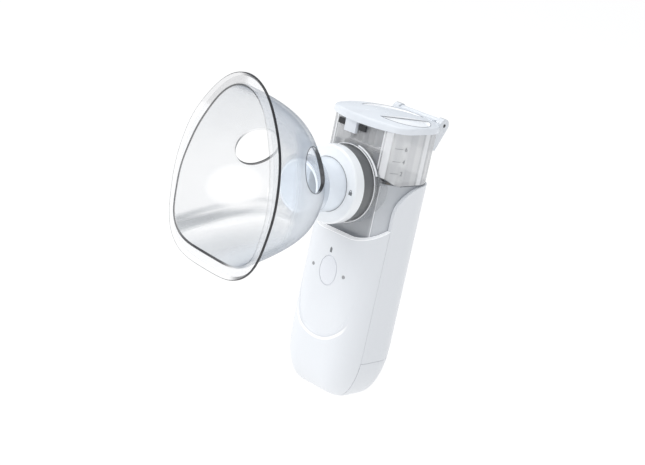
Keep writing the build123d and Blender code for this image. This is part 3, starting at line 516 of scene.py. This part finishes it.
NODE_MATERIALS = {
    "front_shell": housing_front, "rear_shell": housing, "battery_door": housing,
    "power_button": button_white, "indicator_lenses": icon_lens, "control_board": board,
    "tact_switch": chip, "board_chips": chip, "status_leds": led, "board_screws": screw,
    "shell_screws": screw, "battery_cells": cell, "battery_tray": smoke_plastic,
    "tray_contacts": steel, "door_contact": steel, "door_springs": steel,
    "dock_deck": smoke_plastic, "dock_contacts": gold, "reservoir": cup_clear,
    "cup_skirt": skirt_clear, "outlet_collar": collar_clear, "outlet_seal": seal_rubber,
    "mesh_carrier": dark_plastic, "mesh_seal": seal_rubber, "mesh_plate": mesh_metal,
    "piezo_ring": ceramic, "spray_baffle": smoke_plastic, "cup_contacts": gold,
    "latch_catch": dark_plastic, "hinge_pin": dark_plastic, "lid": lid_milky,
    "lid_gasket": gasket_silicone, "adapter_ring": adapter_white, "outlet_tube": tube_clear,
    "face_mask": mask_vinyl,
}
for node_name, node_material in NODE_MATERIALS.items():
    paint(node_name, node_material)


# ---------------------------------------------------------------- face mask
MASK_MATERIALS = (mask_vinyl, mask_edge, flange_vinyl, mouth_edge, vent_edge)


def mask_outline(y, outward):
    """Radius of the CAD mask at depth y for each direction round the axis, smoothed.

    outward rays find the inner wall, inward rays find the outer edge.
    """
    tree = BVHTree.FromObject(nodes["face_mask"], bpy.context.evaluated_depsgraph_get())
    centre = Vector((0, y, AXIS_Z))
    radii = []
    for step in range(MASK_AROUND):
        angle = 2 * math.pi * step / MASK_AROUND
        ray = Vector((math.sin(angle), 0, math.cos(angle)))
        start = centre if outward else centre + ray * 0.2
        hit = tree.ray_cast(start, ray if outward else -ray)[0]
        radii.append((hit - centre).length)
    coefficients = []
    for k in range(OUTLINE_HARMONICS + 1):
        total = sum(r * complex(math.cos(2 * math.pi * k * i / MASK_AROUND),
                                -math.sin(2 * math.pi * k * i / MASK_AROUND))
                    for i, r in enumerate(radii)) / MASK_AROUND
        coefficients.append(total)
    smooth = []
    for i in range(MASK_AROUND):
        value = coefficients[0].real
        for k in range(1, OUTLINE_HARMONICS + 1):
            turn = 2 * math.pi * k * i / MASK_AROUND
            value += 2 * (coefficients[k].real * math.cos(turn) - coefficients[k].imag * math.sin(turn))
        smooth.append(value)
    return smooth


def mask_bowl(mouth, shrink, length):
    """Rings of one side of the bowl from the mouth to the neck, as (depth, radii)."""
    neck = MASK_NECK_RADIUS - shrink
    rings = []
    for step in range(MASK_ALONG + 1):
        angle = math.pi / 2 * step / MASK_ALONG
        reach = math.sin(angle) ** MASK_REACH_POWER
        size = max(math.cos(angle), 0.0) ** MASK_SIZE_POWER
        rings.append((RIM_Y + length * reach, [neck + (m + MASK_WALL - shrink - neck) * size for m in mouth]))
    return rings


def mask_rings():
    """The rings of the mask's closed wall, as (depth, radii, material index)."""
    sleeve_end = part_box("face_mask")[1].y
    edge = mask_outline(RIM_Y + MASK_FLANGE / 2, outward=False)
    mouth = mask_outline(RIM_Y + 0.1 * MM, outward=True)
    flange_back = RIM_Y + MASK_FLANGE
    rings = []
    # outer edge of the flange, rounded from front to back
    for quarter, offset in ((0, FLANGE_ROUND), (1, MASK_FLANGE - FLANGE_ROUND)):
        for step in range(5):
            turn = math.pi / 2 * (quarter + step / 4)
            y = RIM_Y + offset - FLANGE_ROUND * math.cos(turn)
            rings.append((y, [r - FLANGE_ROUND + FLANGE_ROUND * math.sin(turn) for r in edge], 1))
    # back of the flange, with a small fillet against the bowl
    outer = [ring for ring in mask_bowl(mouth, 0.0, MASK_LENGTH) if ring[0] > flange_back + 0.05 * MM]
    start = rings[-1][1]
    for share in (0.25, 0.5, 0.75, 0.93, 1.0):
        radii = [a + (b + 0.4 * MM * (share == 1.0) - a) * share for a, b in zip(start, outer[0][1])]
        rings.append((flange_back, radii, 2))
    rings += [(y, radii, 0) for y, radii in outer]
    # sleeve, outside and inside
    neck_y = outer[-1][0]
    for y, radius in ((neck_y + 0.4 * MM, SLEEVE_RADIUS + 0.2 * MM), (neck_y + 0.9 * MM, SLEEVE_RADIUS),
                      (sleeve_end - 0.3 * MM, SLEEVE_RADIUS), (sleeve_end, SLEEVE_RADIUS - 0.3 * MM),
                      (sleeve_end, SLEEVE_BORE + 0.3 * MM), (sleeve_end - 0.3 * MM, SLEEVE_BORE),
                      (neck_y, SLEEVE_BORE)):
        rings.append((y, [radius] * MASK_AROUND, 0))
    inner = [ring for ring in mask_bowl(mouth, MASK_WALL, MASK_LENGTH - 1.2 * MASK_WALL)
             if ring[0] > RIM_Y + 0.5 * MM]
    rings += [(y, radii, 0) for y, radii in reversed(inner)]
    # rounded edge of the mouth, then the front of the flange
    for share in (0.0, 0.25, 0.5, 0.75, 1.0):
        turn = math.pi / 2 * share
        rings.append((RIM_Y + MOUTH_ROUND * (1 - math.sin(turn)),
                      [r + MOUTH_ROUND * (1 - math.cos(turn)) for r in inner[0][1]], 3))
    start, end = rings[-1][1], rings[0][1]
    for share in (0.07, 0.33, 0.66):
        rings.append((RIM_Y, [a + (b - a) * share for a, b in zip(start, end)], 2))
    return rings


def vent_frame(side):
    """Centre and outward normal of the vent on one side."""
    normal = Vector((side * math.cos(VENT_AZIMUTH) * math.cos(VENT_ELEVATION),
                     math.sin(VENT_AZIMUTH) * math.cos(VENT_ELEVATION), math.sin(VENT_ELEVATION)))
    return Vector((side * VENT_CENTRE.x, VENT_CENTRE.y, VENT_CENTRE.z)), normal


def mask_wall():
    """The mask's closed wall as one mesh, before its vents are cut."""
    rings = mask_rings()
    vertices = []
    faces = []
    slots = []
    for index, (y, radii, material) in enumerate(rings):
        after = (index + 1) % len(rings)
        for step, radius in enumerate(radii):
            angle = 2 * math.pi * step / MASK_AROUND
            beside = (step + 1) % MASK_AROUND
            vertices.append((radius * math.sin(angle), y, AXIS_Z + radius * math.cos(angle)))
            faces.append((index * MASK_AROUND + step, index * MASK_AROUND + beside,
                          after * MASK_AROUND + beside, after * MASK_AROUND + step))
            slots.append(material)
    mesh = bpy.data.meshes.new("mask_body")
    mesh.from_pydata(vertices, [], faces)
    for material in MASK_MATERIALS:
        mesh.materials.append(material)
    mesh.polygons.foreach_set("material_index", slots)
    return mesh


def vent_cutter(side):
    """A cylinder through the mask's wall at one vent."""
    centre, normal = vent_frame(side)
    turn = Vector((0, 0, 1)).rotation_difference(normal).to_matrix().to_4x4()
    shape = bmesh.new()
    bmesh.ops.create_cone(shape, cap_ends=True, segments=VENT_AROUND, depth=12 * MM,
                          radius1=VENT_RADIUS, radius2=VENT_RADIUS)
    bmesh.ops.transform(shape, matrix=Matrix.Translation(centre) @ turn, verts=shape.verts)
    mesh = bpy.data.meshes.new("vent_cutter")
    shape.to_mesh(mesh)
    shape.free()
    for material in MASK_MATERIALS:
        mesh.materials.append(material)
    mesh.polygons.foreach_set("material_index", [MASK_MATERIALS.index(vent_edge)] * len(mesh.polygons))
    cutter = bpy.data.objects.new("vent_cutter", mesh)
    scene.collection.objects.link(cutter)
    return cutter


def make_mask():
    """The soft mask as one smooth closed wall with its two vents cut."""
    mask = add_piece("mask_body", mask_wall(), "face_mask")
    for side in (1, -1):
        cutter = vent_cutter(side)
        cut = mask.modifiers.new("vent", "BOOLEAN")
        cut.operation = "DIFFERENCE"
        cut.solver = "EXACT"
        cut.object = cutter
        evaluated = mask.evaluated_get(bpy.context.evaluated_depsgraph_get())
        result = bpy.data.meshes.new_from_object(evaluated)
        mask.modifiers.clear()
        mask.data = result
        bpy.data.objects.remove(cutter)
    mask.data.polygons.foreach_set("use_smooth", [True] * len(mask.data.polygons))
    mask.data.set_sharp_from_angle(angle=math.radians(40))
    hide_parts("face_mask")


make_mask()


# ---------------------------------------------------------------- marks and fine lines
def surface(node, start, direction):
    """Where a ray meets a CAD node, and the surface normal there."""
    tree = BVHTree.FromObject(nodes[node], bpy.context.evaluated_depsgraph_get())
    place, normal = tree.ray_cast(Vector(start), Vector(direction).normalized())[:2]
    return place, normal


def line_piece(name, points, radius, material, body, closed=False):
    """A fine round line along points."""
    curve = bpy.data.curves.new(name, "CURVE")
    curve.dimensions = "3D"
    curve.bevel_depth = radius
    curve.bevel_resolution = 3
    curve.use_fill_caps = True
    spline = curve.splines.new("POLY")
    spline.points.add(len(points) - 1)
    for point, place in zip(spline.points, points):
        point.co = (*place, 1.0)
    spline.use_cyclic_u = closed
    source = bpy.data.objects.new(name + "_source", curve)
    mesh = bpy.data.meshes.new_from_object(source)
    bpy.data.objects.remove(source)
    mesh.materials.clear()
    mesh.materials.append(material)
    mesh.polygons.foreach_set("use_smooth", [True] * len(mesh.polygons))
    add_piece(name, mesh, body)


def outlet_arc(y, radius, degrees):
    """Points round the outlet's axis, at angles in degrees from the top."""
    return [(radius * math.sin(math.radians(a)), y, AXIS_Z + radius * math.cos(math.radians(a)))
            for a in degrees]


def ring_line(name, y, radius, thickness, material, body):
    """A fine closed line round the outlet."""
    line_piece(name, outlet_arc(y, radius, range(0, 360, 3)), thickness, material, body, True)


def flat_mark(name, outlines, place, normal, material, body, lift=0.04 * MM):
    """Thin raised shapes on a surface; each outline is points (right, up) in metres."""
    up = Vector((0, 0, 1))
    right = up.cross(normal).normalized()
    up = Vector(normal).cross(right)
    shape = bmesh.new()
    base = Vector(place) - Vector(normal) * lift
    for outline in outlines:
        face = shape.faces.new([shape.verts.new(base + right * a + up * b) for a, b in outline])
        top = bmesh.ops.extrude_face_region(shape, geom=[face])["geom"]
        raised = [item for item in top if isinstance(item, bmesh.types.BMVert)]
        bmesh.ops.translate(shape, vec=Vector(normal) * 2 * lift, verts=raised)
    bmesh.ops.recalc_face_normals(shape, faces=shape.faces)
    mesh = bpy.data.meshes.new(name)
    shape.to_mesh(mesh)
    shape.free()
    mesh.materials.append(material)
    add_piece(name, mesh, body)


def rounded(width, height, corner, right=0.0, up=0.0):
    """Outline of a rounded rectangle."""
    points = []
    for quarter in range(4):
        sign_x, sign_y = ((1, 1), (-1, 1), (-1, -1), (1, -1))[quarter]
        for step in range(5):
            turn = math.pi / 2 * (quarter + step / 4)
            points.append((right + sign_x * (width / 2 - corner) + corner * math.cos(turn),
                           up + sign_y * (height / 2 - corner) + corner * math.sin(turn)))
    return points


def make_scale():
    """Level marks on the cup: a tick and a number at each level, placed by rays towards its axis."""
    for level, z in (("2", 100.3), ("4", 105.2), ("6", 110.5)):
        at_z = z * MM
        places = [surface("reservoir", (x * MM, y * MM, at_z), (-x, -y, 0))[0]
                  for x, y in ((33.0, -26.0), (34.2, -22.7), (35.4, -19.5))]
        line_piece("level_tick_" + level, places, 0.09 * MM, print_and_shade_grey, "medicine_cup")
        place, normal = surface("reservoir", (38.0 * MM, -17.5 * MM, at_z), (-38.0, 17.5, 0))
        normal = Vector((normal.x, normal.y, 0)).normalized()
        font = bpy.data.curves.new("level_number_" + level, "FONT")
        font.body = level
        font.size = 2.5 * MM
        font.extrude = 0.04 * MM
        font.align_x = "CENTER"
        font.align_y = "CENTER"
        source = bpy.data.objects.new("number_source", font)
        mesh = bpy.data.meshes.new_from_object(source)
        bpy.data.objects.remove(source)
        right = Vector((0, 0, 1)).cross(normal)
        turn = Matrix((right, Vector((0, 0, 1)), normal)).transposed().to_4x4()
        mesh.transform(Matrix.Translation(place) @ turn)
        mesh.materials.clear()
        mesh.materials.append(print_and_shade_grey)
        add_piece("level_number_" + level, mesh, "medicine_cup")


def make_vent_lines():
    """A fine dark line of painted shade round each vent's outer edge, left out at the top and front of the
    left one.
    """
    tree = BVHTree.FromObject(bpy.data.objects["mask_body"], bpy.context.evaluated_depsgraph_get())
    for side, name, first, last in ((1, "vent_line_right", 0, VENT_AROUND), (-1, "vent_line_left", 40, 92)):
        centre, normal = vent_frame(side)
        across = Vector((0, 0, 1)).cross(normal).normalized()
        up = normal.cross(across)
        points = []
        for step in range(first, last + 1):
            turn = 2 * math.pi * step / VENT_AROUND
            start = centre + (across * math.sin(turn) + up * math.cos(turn)) * (VENT_RADIUS + 0.12 * MM)
            points.append(tree.ray_cast(start + normal * 12 * MM, -normal)[0])
        whole = last - first == VENT_AROUND
        line_piece(name, points, 0.13 * MM, vent_line_shade, "face_mask", whole)


def make_lid_lines():
    """A fine grey line of painted shade round each crescent dish on the lid."""
    tree = BVHTree.FromObject(nodes["lid"], bpy.context.evaluated_depsgraph_get())
    for number, ends in enumerate(LID_CRESCENTS):
        (cx, cy, radius), _ = arc_and_chord(*ends)
        start, middle, end = (math.atan2(y - cy, x - cx) for x, y in ends)
        turn = 1 if (middle - start) % (2 * math.pi) < (end - start) % (2 * math.pi) else -1
        sweep = (turn * (end - start)) % (2 * math.pi)
        reach = radius + LID_LINE_GAP
        points = []
        for step in range(LID_LINE_STEPS + 1):
            angle = start + turn * sweep * step / LID_LINE_STEPS
            above = Vector((cx + reach * math.cos(angle), cy + reach * math.sin(angle), ABOVE_THE_LID))
            points.append(tree.ray_cast(above * MM, Vector((0, 0, -1)))[0])
        line_piece("lid_line_%d" % (number + 1), points, 0.15 * MM, lid_line_shade, "lid", True)


def make_battery_sign():
    """A battery sign above the button."""
    place, normal = surface("front_shell", (-0.6 * MM, -0.06, 61.9 * MM), (0, 1, 0))
    battery = [rounded(1.15 * MM, 1.9 * MM, 0.2 * MM), rounded(0.6 * MM, 0.35 * MM, 0.1 * MM, 0, 1.15 * MM)]
    flat_mark("battery_icon", battery, place, normal, print_and_shade_grey, "main_unit")


def make_groove():
    """A fine pale line in the gap round the button, a little below the shell's face: painted light that lifts
    the gap's shade.
    """
    wide, high = BUTTON_GROOVE
    outside = 1.06      # a little wider than the gap, so that rays meet the shell's face
    points = []
    for step in range(96):
        turn = 2 * math.pi * step / 96
        x, up = wide * math.sin(turn), high * math.cos(turn)
        beside = surface("front_shell", (x * outside, -0.06, BUTTON_Z + up * outside), (0, 1, 0))[0]
        points.append((x, beside.y + 0.28 * MM, BUTTON_Z + up))
    line_piece("button_groove", points, 0.11 * MM, housing, "main_unit", True)


def make_padlock():
    """A padlock on the adapter ring."""
    lock = Vector((13.3 * MM, RING_FACE_Y, 91.4 * MM))
    flat_mark("padlock_body", [rounded(1.7 * MM, 1.35 * MM, 0.2 * MM)], lock, Vector((0, -1, 0)), print_and_shade_grey,
              "outlet_adapter")
    bow = []
    for step in range(13):
        turn = math.pi * step / 12
        bow.append(lock + Vector((0.5 * MM * math.cos(turn), 0, 0.65 * MM + 0.75 * MM * math.sin(turn))))
    line_piece("padlock_bow", bow, 0.12 * MM, print_and_shade_grey, "outlet_adapter")


def make_edge_lines():
    """Fine lines that stand for the light and shade along the edges of the clear parts."""
    low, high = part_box("outlet_tube")
    ring_line("tube_base_line", RING_FACE_Y, (high.x - low.x) / 2 + 0.1 * MM, 0.11 * MM, print_and_shade_grey,
              "outlet_adapter")
    collar_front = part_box("outlet_collar")[0].y
    glint = outlet_arc(collar_front + 1.3 * MM, 16.15 * MM, range(8, 66, 2))
    line_piece("collar_glint", glint, 0.48 * MM, highlight, "medicine_cup")
    corner = [(14.1 * MM, -14.0 * MM, z * MM) for z in range(67, 95)]
    line_piece("skirt_corner_line", corner, 0.2 * MM, highlight, "medicine_cup")
    ring_line("collar_rim_line", collar_front + 0.1 * MM, 16.0 * MM, 0.2 * MM, highlight, "medicine_cup")
    ring_line("collar_back_line", -16.9 * MM, 16.1 * MM, 0.14 * MM, print_and_shade_grey, "medicine_cup")
    edge = []
    for step in range(61):
        turn = math.radians(28 + 304 * step / 60)
        ray = Vector((math.sin(turn), -math.cos(turn), 0))
        place = surface("reservoir", Vector((0, 0, CUP_FOOT_Z)) + ray * 0.08, -ray)[0]
        edge.append(place - ray * 0.08 * MM)
    line_piece("cup_edge_line", edge, 0.22 * MM, edge_grey, "medicine_cup")


# colours of the fine lines: painted highlights, and painted shade along the cup's lower edge, the vents and
# the lid's dishes
highlight = moulded("edge_highlight", (0.93, 0.94, 0.96), 0.15, 0.02, 0.02)
edge_grey = moulded("edge_grey", (0.16, 0.17, 0.185), 0.2, 0.1, 0.02)
vent_line_shade = moulded("vent_line_shade", (0.02, 0.022, 0.028), 0.3, 0.1, 0.02)
lid_line_shade = moulded("lid_line_shade", (0.34, 0.36, 0.39), 0.3, 0.1, 0.02)
make_vent_lines()
make_lid_lines()
make_scale()
make_battery_sign()
make_groove()
make_padlock()
make_edge_lines()


# ---------------------------------------------------------------- camera, floor and light
def make_camera():
    """The camera, with its roll."""
    a, e, r = CAMERA_AZIMUTH, CAMERA_ELEVATION, CAMERA_ROLL
    right = Vector((math.cos(a), math.sin(a), 0))
    back = Vector((math.sin(a) * math.cos(e), -math.cos(a) * math.cos(e), math.sin(e)))
    up = back.cross(right)
    x_axis = right * math.cos(r) + up * math.sin(r)
    y_axis = up * math.cos(r) - right * math.sin(r)
    data = bpy.data.cameras.new("camera")
    data.lens = CAMERA_LENS
    data.sensor_width = 36.0
    data.clip_start = 0.01
    camera = bpy.data.objects.new("camera", data)
    camera.matrix_world = Matrix.Translation(CAMERA_AT) @ Matrix((x_axis, y_axis, back)).transposed().to_4x4()
    scene.collection.objects.link(camera)
    scene.camera = camera


def make_floor():
    """A wide pale floor, lit just to white."""
    n = Nodes("floor")
    shader = n.add("ShaderNodeBsdfPrincipled", Base_Color=(0.16, 0.16, 0.16, 1), Roughness=0.95)
    shader.inputs["Emission Color"].default_value = (1, 1, 1, 1)
    shader.inputs["Specular IOR Level"].default_value = 0.0
    shader.inputs["Emission Strength"].default_value = 0.90
    mesh = bpy.data.meshes.new("floor")
    side = 40.0
    mesh.from_pydata([(-side, -side, 0), (side, -side, 0), (side, side, 0), (-side, side, 0)], [],
                     [(0, 1, 2, 3)])
    mesh.materials.append(n.finish(shader.outputs[0]))
    floor = bpy.data.objects.new("floor", mesh)
    scene.collection.objects.link(floor)


def softbox(name, at, aim, width, height, power):
    """A soft rectangular studio light."""
    data = bpy.data.lights.new(name, "AREA")
    data.shape = "RECTANGLE"
    data.size = width
    data.size_y = height
    data.energy = power
    light = bpy.data.objects.new(name, data)
    direction = Vector(aim) - Vector(at)
    light.matrix_world = Matrix.Translation(at) @ direction.to_track_quat("-Z", "Y").to_matrix().to_4x4()
    scene.collection.objects.link(light)


def make_world():
    """An even, slightly blue room."""
    world = bpy.data.worlds.new("studio")
    scene.world = world
    world.use_nodes = True
    background = world.node_tree.nodes["Background"]
    background.inputs["Color"].default_value = (0.93, 0.96, 1.0, 1)
    background.inputs["Strength"].default_value = 0.58


make_camera()
make_floor()
make_world()
softbox("key", (-0.5, -0.9, 0.9), (0, -0.02, 0.08), 0.7, 0.7, 6.5)
softbox("top", (0.1, 0.1, 1.1), (0, 0, 0.08), 0.9, 0.9, 4.0)
softbox("front", (0.10, -1.2, 0.30), (0, -0.02, 0.08), 0.5, 0.5, 2.3)
scene.view_settings.view_transform = "Standard"
